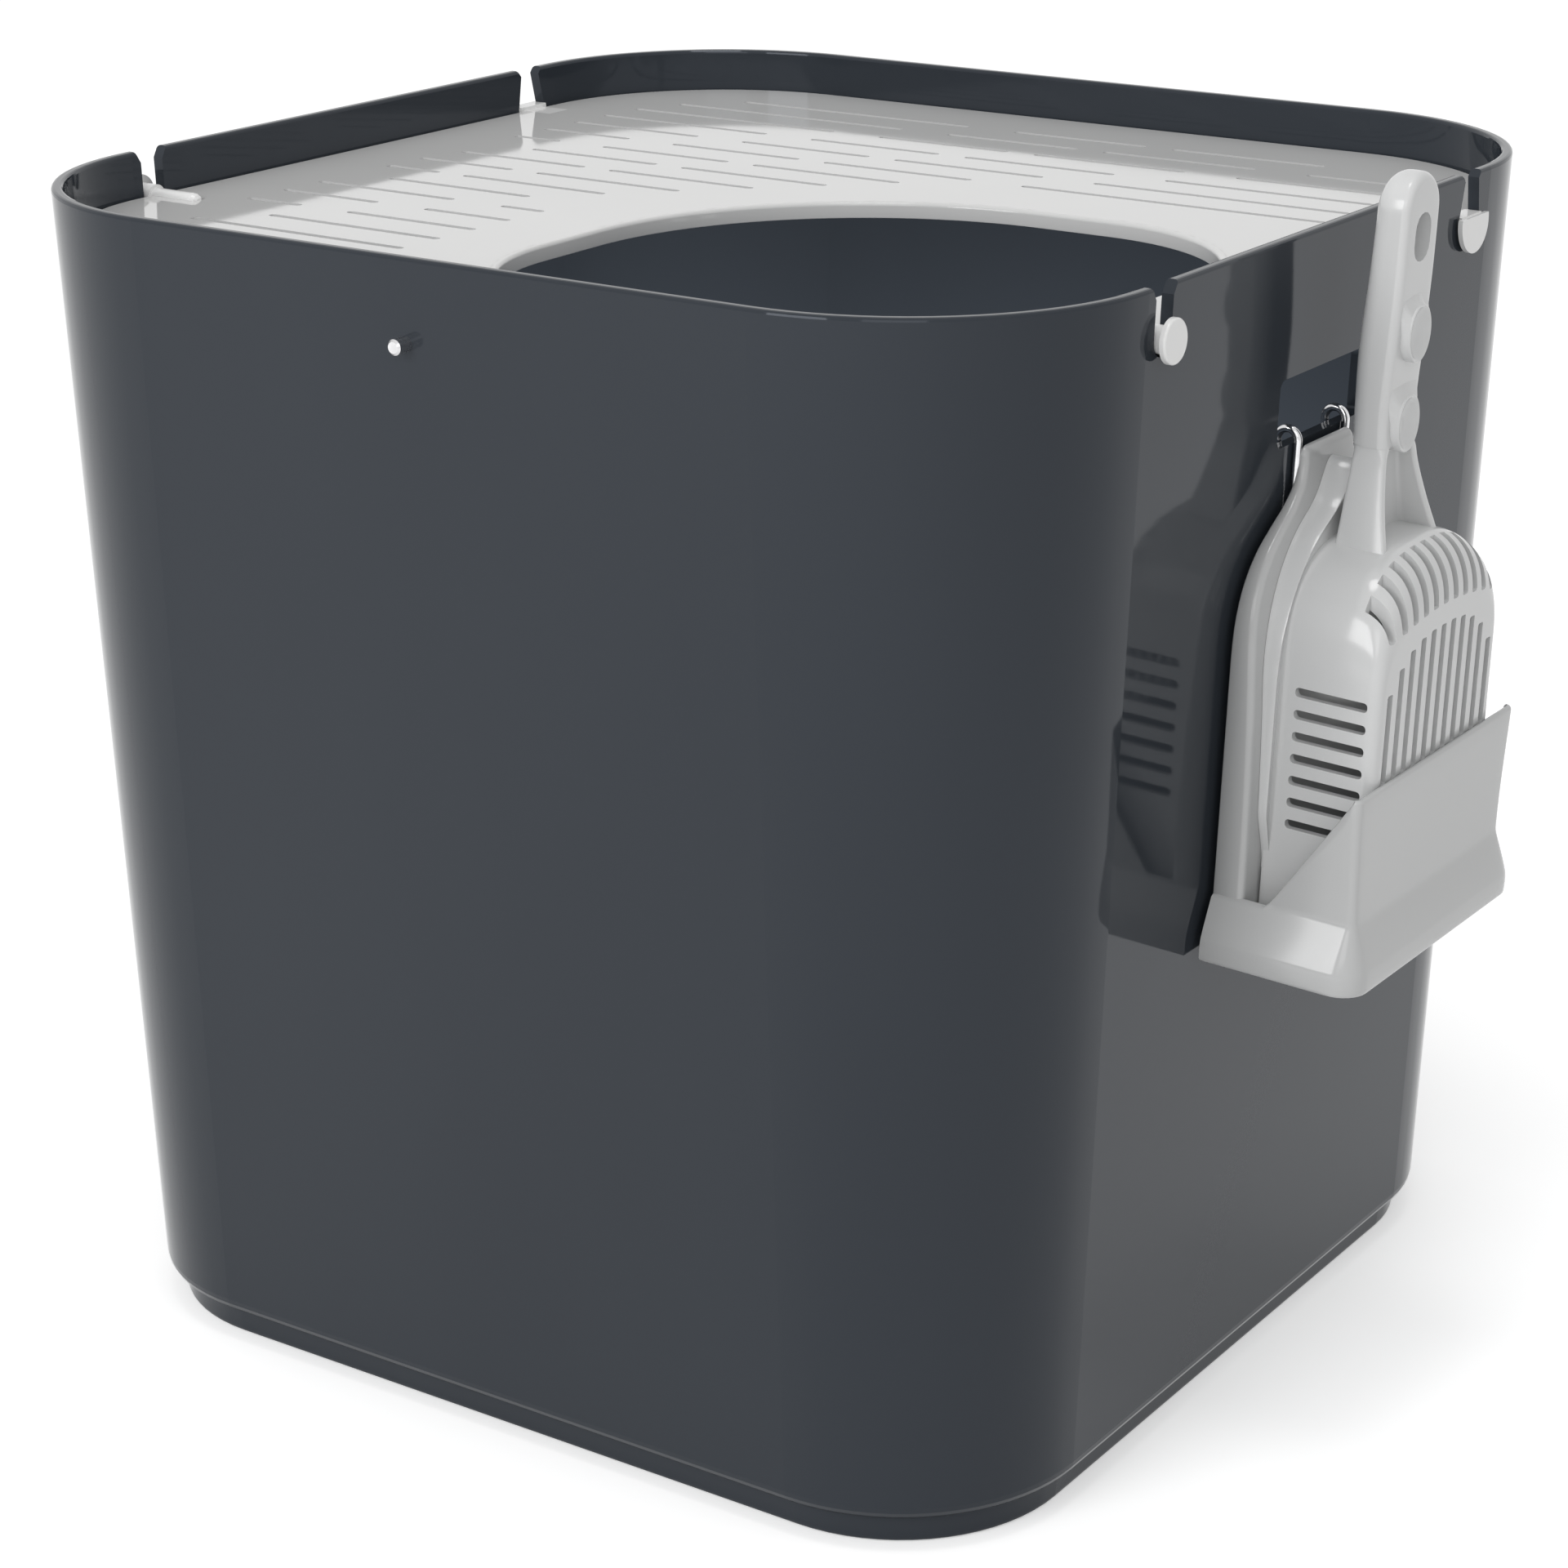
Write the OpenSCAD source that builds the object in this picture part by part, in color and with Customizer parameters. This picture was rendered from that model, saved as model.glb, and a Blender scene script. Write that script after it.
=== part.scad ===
// Top entry litter box: a tapered tub, a slotted lid that swings on two half-round
// hinge lugs, and a scoop in a holder that hooks over the tub's hand-hold.

/* [Tub] */
// Width of the square tub across its rim
tub_w = 400; // [380:5:420]
// Height of the tub from the ground to its rim
tub_h = 398; // [380:2:420]
// Lean of the four walls away from upright, in degrees
lean = 2.5; // [2:0.25:3]
// Radius of the tub's upright corners, at the rim
corner_r = 83; // [75:1:90]
// Thickness of the walls
wall = 4; // [3:0.5:5]
// Thickness of the floor
floor_t = 3.5; // [3:0.5:5]
// Height at which the walls turn in to the foot
foot_h = 15.4; // [12:0.2:20]
// How far the foot stands in from the foot of the walls
foot_inset = 6.5; // [5:0.5:8]
// Width of each hand-hold
hold_w = 57; // [50:1:70]
// Height of each hand-hold
hold_h = 22; // [18:1:30]
// Height of the hand-hold's lower edge above the ground
hold_z = 331; // [320:1:340]

/* [Lid] */
// Height of the lid's top face above the ground
lid_z = 382.7; // [378:0.1:385]
// Thickness of the lid's plate
lid_t = 3; // [2.5:0.5:4]
// Depth of the skirt round the lid
skirt_h = 8.5; // [6:0.5:12]
// Gap between the lid's edge and the tub
lid_gap = 1.1; // [0.9:0.1:1.6]
// Distance from one row of litter slots to the next
row_pitch = 18.3; // [16:0.1:22]
// Width of a litter slot
slot_w = 3; // [2:0.5:4]
// Depth of the collar round the entry hole, from the lid's top face
collar_h = 5.5; // [4:0.5:8]

/* [Lugs and keyholes] */
// Distance of the lock lugs in front of the middle
lock_y = 107.5; // [100:0.5:115]
// Distance of the hinge lugs behind the middle
hinge_y = 102.4; // [95:0.2:110]
// Height of the lugs' axis above the ground
lug_z = 381.6; // [380:0.2:383]
// Width of the open slots for the lock lugs
lock_slot_w = 10.4; // [9:0.2:12]
// Radius of the round seat for a hinge lug
seat_r = 8; // [7:0.5:9]
// Width of the mouth over a hinge lug's seat
mouth_w = 10.6; // [10:0.2:12]

/* [Scoop holder] */
// Half the width of the holder's back plate
plate_hw = 54; // [50:1:58]
// Height of the holder's lower edge, measured up the wall
base_v = 170.7; // [165:0.1:175]
// Distance of the pocket's front face from the wall
pocket_d = 52; // [48:1:56]
// Height of the pocket's front edge, measured up the wall
pocket_v = 235.5; // [225:0.5:245]
// Thickness of the holder's walls
holder_t = 2.5; // [2:0.5:3]
// Diameter of the hooks' wire
wire_d = 2.7; // [2.5:0.1:3]
// Distance of each hook from the middle of the holder
hook_u = 16.5; // [14:0.5:18]

/* [Scoop] */
// Half the width of the scoop's bowl
bowl_hw = 43; // [40:1:45]
// Height of the bowl's top, measured up the wall
bowl_top = 299.5; // [295:0.5:303]
// Distance of the bowl's front face from the wall
bowl_d = 49; // [45:0.2:49]
// Thickness of the bowl's walls
bowl_t = 2.4; // [2:0.2:3]
// Height of the handle's top, measured up the wall
handle_top = 418.7; // [400:0.5:425]
// Half the width of the handle
handle_hw = 11.8; // [10:0.2:14]
// Distance between the bowl's sifting slots
sift_pitch = 7.2; // [6.8:0.1:7.4]
// Width of a sifting slot
sift_w = 3.6; // [3:0.2:4]

/* [Hidden] */
$fn = 64;
far = 500;
eps = 0.02;

// The tub's corners are cones about upright axes this far from the middle, both ways.
corner_c = tub_w / 2 - corner_r;
function outer_r(z) = corner_r - (tub_h - z) * tan(lean);
function inner_r(z) = outer_r(z) - wall;
function arc(c, r, a0, a1, n) = [for (i = [0:n]) let (a = a0 + (a1 - a0) * i / n)
    c + r * [cos(a), sin(a)]];

tuck_r = 5.5;
foot_r = outer_r(foot_h) - foot_inset;
foot_top_z = foot_h - tuck_r;
foot_round = 1.5;
rim_round = 1.2;
floor_round = 20;
fillet_z = floor_t + floor_round;

lid_r = inner_r(lid_z) - lid_gap;
skirt_t = 2.4;
hole_l = -30;
hole_r = 171.5;
hole_f = -173;
hole_b = 32;
hole_corners = [70, 60, 70, 105];
field_hw = 163;
field_hd = 170;
field_r = 60;
first_row = 160.5;
row_n = 18;
band_a = [-192.5, -172.5];
band_b = [-116.5, -105.5];
band_c = [-43.5, -23];
hole_margin = 34;
rim_w = 2.4;
lip_ease = 1;
least_slot = 6;

lug_x = tub_w / 2 + 0.3;
head_r = 7;
head_t = 2;
head_gap = 1.7;
neck_r = 4.3;
shaft_r = 3.2;
shaft_in = 19.5;
hinge_fit = 0.08;
flange_r = 10.4;
flange_t = 1.6;
flange_up = 2;
flat_up = 2.4;
tongue_in = 16;
boss_w = 12;

stud_x = -8;
stud_z = 371.3;
stud_r = 2.5;
stud_out = 6;
shank_r = 1.5;

plate_back = 2.4;
plate_face = 13;
face_line = [[13, 212], [9.4, 290], [6, 322]];
wire_r = wire_d / 2;
wire_clear = 0.3;
leg_out = wire_clear + wire_r;
leg_in = -wall - wire_clear - wire_r;
hook_c = (leg_out + leg_in) / 2;
hook_bend = (leg_out - leg_in) / 2;
hook_v = hold_z + 0.9;
leg_out_len = 38;
leg_in_len = 13;
plate_top = 330.5;
floor_v = 186;
skirt_v = 192;
lip_v = 178.5;
lip_hw = 60.4;
lip_d = 56.7;
mouth_hw = 57.3;
front_round = 3.2;
lip_round = 10;
gusset = [[21, 192], [45, 228], [50, 235.5]];

scoop_v = 186.4;
scoop_back = 13.7;
flange_hw = 47.5;
flange_top = 314;
flange_v = 218;
rim_t = 2;
rim_gap = 0.4;
arch_v = 262;
shoulder_d = 36.5;
front_hw = 39;
front_top = 281;
sift_v = 234.3;
sift_top = 276.4;
band_v = 282.3;
side_slot_v = 214.4;
side_slot_pitch = 7.3;
handle_back = 15.6;
handle_front = 28.2;
web_hw = 19.5;
web_front = 33.5;
neck_v = 330;
back_round = 6.5;
edge_round = 2.5;
// Height up the wall, and distance of the handle's back and front from it, from tip to neck.
grip_line = [[handle_top - handle_hw, 17.5, 30.1], [388, 16.9, 30], [362, 15, 29],
    [neck_v, handle_back, handle_front]];
// Height of each thumb rest's rim, and distance of its base and rim from the wall.
rests = [[368.7, 28.9, 32.4], [339.7, 28, 31.2]];

// ---- shared shapes ----

// A profile, drawn as distance from the corner axis against height, carried round the square.
module round_square() {
    for (i = [0:3]) rotate([0, 0, 90 * i]) translate([corner_c, corner_c, 0]) {
        rotate_extrude(angle = 90) children();
        rotate([90, 0, 0]) linear_extrude(2 * corner_c) children();
    }
}

// Places what is drawn as distance off the wall, along the wall and up the wall.
module on_wall() {
    translate([tub_w / 2 - tub_h * tan(lean), 0, 0]) rotate([0, lean, 0]) children();
}

// Turns an outline drawn as along-the-wall against up-the-wall to stand out from d0 to d1.
module stand_out(d0, d1) {
    translate([d0, 0, 0]) rotate([90, 0, 90]) linear_extrude(d1 - d0) children();
}

// Turns an outline drawn as off-the-wall against up-the-wall to run from -hw to hw.
module run_along(hw) {
    translate([0, hw, 0]) rotate([90, 0, 0]) linear_extrude(2 * hw) children();
}

// ---- tub ----

module wall_profile() {
    polygon(concat(
        [[0, 0]],
        arc([foot_r - foot_round, foot_round], foot_round, -90, 0, 3),
        [[foot_r + 0.7, foot_top_z]],
        arc([outer_r(foot_h) - tuck_r, foot_h], tuck_r, -90, 0, 5),
        arc([corner_r - rim_round, tub_h - rim_round], rim_round, 0, 90, 3),
        arc([corner_r - wall + rim_round, tub_h - rim_round], rim_round, 90, 180, 3),
        arc([inner_r(fillet_z) - floor_round, fillet_z], floor_round, 0, -90, 6),
        [[0, floor_t]]));
}

module across(y, z) {
    translate([-far / 2, y, z]) rotate([90, 0, 90]) linear_extrude(far) children();
}

module lock_slot() {
    flare_w = 2.4;
    flare_h = 4;
    top = tub_h - lug_z;
    half = lock_slot_w / 2;
    across(-lock_y, lug_z) {
        circle(lock_slot_w / 2);
        polygon([[-half, 0], [half, 0], [half, top - flare_h], [half + flare_w, top + eps],
            [half + flare_w, top + 5], [-half - flare_w, top + 5], [-half - flare_w, top + eps],
            [-half, top - flare_h]]);
    }
}

module keyhole() {
    top = tub_h - lug_z;
    half = mouth_w / 2;
    shoulder = seat_r * cos(20);
    across(hinge_y, lug_z) {
        circle(seat_r);
        polygon([[-shoulder, seat_r * sin(20)], [shoulder, seat_r * sin(20)], [half, top - 2.5],
            [half + 2, top + eps], [half + 2, top + 5], [-half - 2, top + 5], [-half - 2, top + eps],
            [-half, top - 2.5]]);
    }
}

module hand_hold() {
    r = 3;
    across(0, hold_z) {
        translate([-hold_w / 2, r]) square([hold_w, hold_h - 2 * r]);
        translate([-hold_w / 2 + r, 0]) square([hold_w - 2 * r, hold_h]);
        for (u = [r - hold_w / 2, hold_w / 2 - r], v = [r, hold_h - r]) translate([u, v]) circle(r);
    }
}

module stud_hole() {
    translate([stud_x, -tub_w / 2 - 20, stud_z]) rotate([-90, 0, 0]) cylinder(r = shank_r, h = 40);
}

module bucket() color("#3f4447") difference() {
    union() {
        round_square() wall_profile();
        translate([-corner_c, -corner_c, 0]) cube([2 * corner_c, 2 * corner_c, floor_t]);
    }
    lock_slot();
    keyhole();
    hand_hold();
    stud_hole();
}

// A turned stud whose shank passes through the front wall and is headed over inside.
module front_stud() color("silver") {
    out_y = -tub_w / 2 + (tub_h - stud_z) * tan(lean);
    translate([stud_x, out_y, stud_z]) rotate([90, 0, 0]) rotate_extrude()
        polygon([[0, -wall - 1.3], [shank_r + 0.4, -wall - 1.3], [stud_r, -wall - 0.8], [stud_r, -wall],
            [shank_r, -wall], [shank_r, 0], [stud_r, 0], [stud_r, stud_out - 0.7],
            [stud_r - 0.7, stud_out], [0, stud_out]]);
}

// ---- lid ----

module lid_profile() {
    polygon([[0, lid_z - lid_t], [lid_r - skirt_t, lid_z - lid_t], [lid_r - skirt_t, lid_z - skirt_h],
        [lid_r, lid_z - skirt_h], [lid_r, lid_z - 1], [lid_r - 1, lid_z], [0, lid_z]]);
}

// The entry hole's outline, grown by g, from its back right corner round to its front right one.
module entry_outline(g) {
    q = hole_corners;
    polygon(concat(
        arc([hole_r - q[0], hole_b - q[0]], q[0] + g, 0, 90, 14),
        arc([hole_l + q[3], hole_b - q[3]], q[3] + g, 90, 180, 18),
        arc([hole_l + q[2], hole_f + q[2]], q[2] + g, 180, 270, 14),
        arc([hole_r - q[1], hole_f + q[1]], q[1] + g, 270, 360, 12)));
}

function field_x(y) = abs(y) > field_hd - field_r
    ? field_hw - field_r + sqrt(pow(field_r, 2) - pow(abs(y) - field_hd + field_r, 2)) : field_hw;
function row_spans(y) = let (x = field_x(y),
    last = y > hole_b + hole_margin ? x : hole_l - hole_margin)
    [[-x, y + band_a[0]], [max(-x, y + band_a[1]), y + band_b[0]],
    [max(-x, y + band_b[1]), y + band_c[0]], [max(-x, y + band_c[1]), last]];

module litter_slot(x0, x1, y) {
    r = slot_w / 2;
    translate([0, y, lid_z - 10]) linear_extrude(20)
        polygon(concat(arc([x1 - r, 0], r, -90, 90, 4), arc([x0 + r, 0], r, 90, 270, 4)));
}

module litter_slots() {
    for (k = [0:row_n - 1]) let (y = first_row - k * row_pitch)
        for (s = row_spans(y)) if (s[1] - s[0] > least_slot) litter_slot(s[0], s[1], y);
}

module lug_boss(y, len, depth) {
    for (side = [-1, 1]) translate([side * (corner_c + lid_r - skirt_t - len / 2 + eps), y, 0])
        translate([-len / 2, -boss_w / 2 - 1, lid_z - depth]) cube([len, boss_w + 2, depth - lid_t + eps]);
}

module lid() color("#d6d6d5") difference() {
    union() {
        round_square() lid_profile();
        translate([-corner_c, -corner_c, lid_z - lid_t]) cube([2 * corner_c, 2 * corner_c, lid_t]);
        lug_boss(-lock_y, shaft_in, skirt_h);
        lug_boss(hinge_y, tongue_in, skirt_h + 3);
    }
    translate([0, 0, lid_z - 40]) linear_extrude(80) entry_outline(rim_w);
    litter_slots();
    for (side = [0, 1]) mirror([side, 0, 0]) {
        lug_axis(-lock_y) cylinder(r = shaft_r, h = far);
        hinge_tongue();
    }
}

// The rim round the entry hole: a collar under the lid's plate, its top inner edge eased.
module entry_rim() color("#d6d6d5") difference() {
    translate([0, 0, lid_z - collar_h]) linear_extrude(collar_h) entry_outline(rim_w);
    translate([0, 0, lid_z - 40]) linear_extrude(80) entry_outline(0);
    hull() {
        translate([0, 0, lid_z - lip_ease]) linear_extrude(eps) entry_outline(0);
        translate([0, 0, lid_z]) linear_extrude(eps) entry_outline(lip_ease);
    }
}

// ---- lugs ----

module lug_axis(y) {
    translate([lug_x - shaft_in - 6.5, y, lug_z]) rotate([0, 90, 0]) children();
}

// A lock lug, turned about its own axis: rounded shaft on the lid, neck in the slot, head outside.
module lock_lug() {
    tip = lug_x - 6.4 - shaft_in;
    neck_x = lid_r + corner_c + 0.2;
    translate([0, -lock_y, lug_z]) rotate([0, 90, 0]) rotate_extrude()
        polygon(concat([[0, tip]], arc([0, tip + shaft_r], shaft_r, -60, 0, 3),
            [[shaft_r, neck_x], [neck_r, neck_x], [neck_r, lug_x + head_gap], [head_r, lug_x + head_gap]],
            arc([head_r - 0.7, lug_x + head_gap + head_t - 0.7], 0.7, 0, 90, 3),
            [[0, lug_x + head_gap + head_t]]));
}

module half_round(r, x0, x1, up) {
    intersection() {
        translate([x0, hinge_y, lug_z]) rotate([0, 90, 0]) cylinder(r = r, h = x1 - x0);
        translate([x0 - 1, hinge_y - 20, lug_z - 20]) cube([x1 - x0 + 2, 40, 20 + up]);
    }
}

module hinge_tongue() {
    half_round(6, corner_c + lid_r - tongue_in + 4, corner_c + lid_r + 0.2, lid_z - lug_z);
}

// A hinge lug: a half-round tongue under the lid, a half-round pin in the seat, a flange outside.
module hinge_lug() {
    hinge_tongue();
    half_round(seat_r - hinge_fit, corner_c + lid_r + 0.2 - eps, lug_x + eps, flat_up);
    half_round(flange_r, lug_x, lug_x + flange_t, flange_up);
}

module lock_lug_left() color("#e4e4e3") mirror([1, 0, 0]) lock_lug();
module lock_lug_right() color("#e4e4e3") lock_lug();
module hinge_lug_left() color("#e4e4e3") mirror([1, 0, 0]) hinge_lug();
module hinge_lug_right() color("#e4e4e3") hinge_lug();

// ---- scoop holder ----

// Bottle-shaped outline of the back plate, drawn g smaller all round.
module plate_outline(g) {
    hw = plate_hw - g;
    r1 = 41 - g;
    c1 = [plate_hw - 41, 269.5];
    turn = 62;
    r2 = 30 + g;
    c2 = c1 + (41 + 30) * [cos(turn), sin(turn)];
    side = concat([[hw, floor_v + g / 2]], arc(c1, r1, 0, turn, 9), arc(c2, r2, 180 + turn, 192, 6),
        [[c2[0] - r2, plate_top - g]]);
    polygon(concat(side, [for (i = [len(side) - 1:-1:0]) [-side[i][0], side[i][1]]]));
}

// Side view of the back plate, which leans in to the wall toward its neck, g within the true one.
module plate_side(back, g, low, top) {
    face = [for (q = face_line) [q[0] - g, q[1]]];
    polygon(concat([[back, low], [plate_face - g, low]], face, [[face[2][0] - 0.3, top], [back, top]]));
}

module back_plate() {
    difference() {
        intersection() {
            stand_out(plate_back, 20) plate_outline(0);
            run_along(70) plate_side(plate_back, 0, floor_v - 5, plate_top + 1);
        }
        intersection() {
            stand_out(-1, 20) plate_outline(holder_t);
            run_along(70) plate_side(-5, holder_t, floor_v, 297);
        }
        hook_legs();
    }
}

// A slab with its two outer corners rounded, reaching from back out to d, at height v.
module tray(hw, d, r, v, h, back = plate_back) {
    translate([0, 0, v]) {
        for (s = [-1, 1]) translate([d - r, s * (hw - r), 0]) cylinder(r = r, h = h, $fn = 32);
        translate([back, -hw, 0]) cube([1, 2 * hw, h]);
    }
}

module pocket() {
    difference() {
        hull() {
            tray(plate_hw, pocket_d, front_round, skirt_v - 8, 1);
            tray(mouth_hw, pocket_d, front_round, pocket_v - 1, 1);
        }
        run_along(80) polygon(concat([[-5, gusset[0][1]]], gusset, [[gusset[2][0], 245], [-5, 245]]));
    }
}

module pocket_hollow() {
    t = holder_t;
    hull() {
        tray(plate_hw - t, pocket_d - t, front_round - t, floor_v, 1, plate_face);
        tray(mouth_hw - t, pocket_d - t, front_round - t, pocket_v + 1, 1, plate_face);
    }
}

module skirt() {
    t = holder_t;
    difference() {
        union() {
            hull() {
                tray(plate_hw, pocket_d, front_round, skirt_v, 0.5);
                tray(lip_hw, lip_d, lip_round, lip_v, 0.5);
            }
            hull() tray(lip_hw, lip_d, lip_round, base_v, lip_v - base_v + 0.2);
        }
        hull() {
            tray(plate_hw, pocket_d, front_round, floor_v - t - 0.5, 0.5, plate_back - 5);
            tray(lip_hw - t, lip_d - t, lip_round - t, base_v - 1, lip_v - base_v, plate_back - 5);
        }
    }
    translate([plate_back, -lip_hw, base_v]) cube([2.2, 2 * lip_hw, lip_v - base_v]);
}

module scoop_holder() color("#c3c4c4") on_wall() difference() {
    union() {
        back_plate();
        pocket();
        skirt();
    }
    pocket_hollow();
}

// ---- hooks ----

module hook() {
    translate([leg_out, 0, hook_v - leg_out_len]) cylinder(r = wire_r, h = leg_out_len);
    translate([leg_in, 0, hook_v - leg_in_len]) cylinder(r = wire_r, h = leg_in_len);
    translate([hook_c, 0, hook_v]) rotate([90, 0, 0]) rotate_extrude(angle = 180)
        translate([hook_bend, 0]) circle(wire_r);
}

module hook_legs() {
    for (s = [-1, 1]) translate([leg_out, s * hook_u, hook_v - leg_out_len])
        cylinder(r = wire_r, h = leg_out_len);
}

module hook_front() color("gainsboro") on_wall() translate([0, -hook_u, 0]) hook();
module hook_rear() color("gainsboro") on_wall() translate([0, hook_u, 0]) hook();

// ---- scoop ----

// Arched outline: straight sides up to arch_v and half an ellipse above.
function arch(hw, top, low) = concat([[hw, low]],
    [for (i = [0:24]) [hw * cos(7.5 * i), arch_v + (top - arch_v) * sin(7.5 * i)]], [[-hw, low]]);

// The bowl's outside, g within the true one: it narrows and its top drops over the shoulder.
module bowl_form(g, back, low) {
    steps = 6;
    hull() {
        stand_out(back, back + 1) polygon(arch(bowl_hw - g, bowl_top - g, low));
        for (i = [0:steps]) let (a = 90 * i / steps,
            hw = front_hw + (bowl_hw - front_hw) * cos(a),
            top = front_top + (bowl_top - front_top) * cos(a),
            d = shoulder_d + (bowl_d - shoulder_d) * sin(a))
            stand_out(d - g - 0.3, d - g) polygon(arch(hw - g, top - g, low));
    }
}

// Slots down the front, slots over the shoulder above a plain band, and slots in both sides.
module sift_slots() {
    for (i = [-5:5]) let (u = i * sift_pitch - sift_w / 2, top = sift_top - 9 * pow(abs(i) / 5, 3)) {
        translate([bowl_d - 6, u, sift_v]) cube([10, sift_w, top - sift_v]);
        if (abs(i) < 5) translate([shoulder_d - 0.5, u, band_v - 4.3 * pow(i / 4, 2)])
            cube([20, sift_w, 40]);
    }
    for (k = [0:6]) translate([20.5, -60, side_slot_v + side_slot_pitch * k]) cube([23.5, 120, 3.1]);
}

module bowl() {
    difference() {
        bowl_form(0, scoop_back, scoop_v);
        bowl_form(bowl_t, scoop_back - 5, scoop_v - 5);
        sift_slots();
    }
}

// The rim at the bowl's back, deep enough to follow the plate's slope behind it.
module flange() {
    outline = arch(flange_hw, flange_top, flange_v);
    difference() {
        intersection() {
            stand_out(4, scoop_back + rim_t)
                polygon(concat([[bowl_hw - 1, flange_v - 9]], outline, [[1 - bowl_hw, flange_v - 9]]));
            run_along(60) polygon(concat([[plate_face + rim_gap, flange_v - 20]],
                [for (q = face_line) [q[0] + rim_gap, q[1]]], [[25, 322], [25, flange_v - 20]]));
        }
        stand_out(0, 30) polygon(arch(bowl_hw - bowl_t / 2, bowl_top - bowl_t / 2, scoop_v - 1));
    }
}

// A disc about an axis off the wall, its back edge more rounded than its front one.
module knob(v, d0, d1) {
    translate([d0, 0, v]) rotate([0, 90, 0]) rotate_extrude($fn = 32) polygon(concat([[0, 0]],
        arc([handle_hw - back_round, back_round], back_round, -90, 0, 5),
        arc([handle_hw - edge_round, d1 - d0 - edge_round], edge_round, 0, 90, 3), [[0, d1 - d0]]));
}

// An upright oval, half 9 high and 7.2 wide, at distance d from the wall.
module oval(d, v, g) {
    translate([d, 0, v]) rotate([0, 90, 0]) scale([9.2 - g, 7.4 - g, 1])
        cylinder(r = 1, h = 0.4, $fn = 32);
}

// A thumb rest: a wedge across the handle that narrows to an oval rim.
module thumb_rest(q) {
    hull() {
        translate([q[1] - 4, -10.4, q[0] - 7]) cube([4, 20.8, 20.4]);
        oval(q[2] - 0.8, q[0], 0);
        oval(q[2] - 0.4, q[0], 0.4);
    }
}

module hang_hole() {
    hull() for (v = [396.3, 401]) translate([0, 0, v]) rotate([0, 90, 0])
        cylinder(r = 5.4, h = 60, $fn = 32);
}

module handle() {
    difference() {
        union() {
            for (i = [0:2]) hull() for (q = [grip_line[i], grip_line[i + 1]]) knob(q[0], q[1], q[2]);
            for (q = rests) thumb_rest(q);
        }
        for (q = rests) translate([q[2], 0, q[0]]) scale([2.4, 6.3, 8.1]) sphere(r = 1, $fn = 32);
        hang_hole();
    }
}

module neck() {
    difference() {
        hull() {
            knob(neck_v, handle_back, handle_front);
            translate([handle_back - 1, -web_hw, bowl_top - 1])
                cube([web_front - handle_back + 1, 2 * web_hw, 1]);
        }
        hull() {
            translate([handle_back + 8, 3 - handle_hw, neck_v - 2]) cube([30, 2 * handle_hw - 6, 1]);
            translate([handle_back + 6, 3 - web_hw, bowl_top - 2]) cube([40, 2 * web_hw - 6, 1]);
        }
    }
}

module scoop() color("#cbcbcb") on_wall() {
    bowl();
    flange();
    handle();
    neck();
}

bucket();
front_stud();
lid();
entry_rim();
lock_lug_left();
lock_lug_right();
hinge_lug_left();
hinge_lug_right();
scoop_holder();
hook_front();
hook_rear();
scoop();
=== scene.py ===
"""Top entry litter box: the looks of every piece, the studio and the camera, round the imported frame."""
import math

import bmesh
import bpy
import numpy as np
from bpy.props import FloatProperty, FloatVectorProperty, PointerProperty
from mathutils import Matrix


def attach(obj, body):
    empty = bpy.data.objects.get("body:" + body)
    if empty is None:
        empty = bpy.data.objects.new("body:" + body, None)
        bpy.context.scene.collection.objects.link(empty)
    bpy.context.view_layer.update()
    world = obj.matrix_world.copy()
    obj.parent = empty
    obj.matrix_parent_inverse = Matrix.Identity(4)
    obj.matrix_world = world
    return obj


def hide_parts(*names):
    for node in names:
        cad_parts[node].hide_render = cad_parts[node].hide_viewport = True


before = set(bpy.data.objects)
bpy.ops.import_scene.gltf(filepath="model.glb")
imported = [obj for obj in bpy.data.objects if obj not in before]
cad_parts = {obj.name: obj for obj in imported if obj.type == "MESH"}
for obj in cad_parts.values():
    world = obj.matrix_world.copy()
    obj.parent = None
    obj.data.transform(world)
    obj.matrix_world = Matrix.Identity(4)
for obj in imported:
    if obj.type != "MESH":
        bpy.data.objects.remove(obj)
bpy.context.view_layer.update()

bl_info = {
    "name": "Top Entry Litter Box",
    "version": (1, 0, 0),
    "blender": (4, 5, 0),
    "location": "3D View > Sidebar > Litter Box",
    "description": "Dresses the packed litter box with moulded plastic, steel and a white studio",
    "category": "Object",
}

MM = 0.001


# ---------------------------------------------------------------- materials


WHITE = (1.0, 1.0, 1.0, 1.0)
CLOUDS = {"scale": 9.0, "detail": 3.0, "stretch": (1.0, 1.0, 0.35)}
SMEARS = {"scale": 22.0, "detail": 4.0, "stretch": (1.0, 1.0, 0.4)}
SKIN = {"scale": 60.0, "detail": 2.0}
SPECKLE = {"scale": 1400.0, "detail": 1.0}
CLOUD_SHARE = 0.75
SMEAR_GLOSS = 0.5
SPECKLE_GLOSS = 0.3
GRAIN = 0.2
TUB_GRAIN = 0.3
GREY_SHADE = 0.96
LUG_SHADE = 0.97
DRAWN_LINES = {"scale": 900.0, "detail": 2.0, "stretch": (1.0, 1.0, 0.06)}
TARNISH = {"scale": 160.0, "detail": 3.0}
TARNISH_SHADE = 0.8
TARNISH_GLOSS = 0.08


class Wire:
    """A value that flows between nodes. Sums and products of it add their Math nodes."""

    def __init__(self, net, socket):
        self.net = net
        self.socket = socket

    def maths(self, operation, first, second):
        return self.net.wire("Math", {"operation": operation}, {0: first, 1: second})

    def __add__(self, other):
        return self.maths("ADD", self, other)

    def __radd__(self, other):
        return self.maths("ADD", other, self)

    def __mul__(self, other):
        return self.maths("MULTIPLY", self, other)

    def __rmul__(self, other):
        return self.maths("MULTIPLY", other, self)


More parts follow.
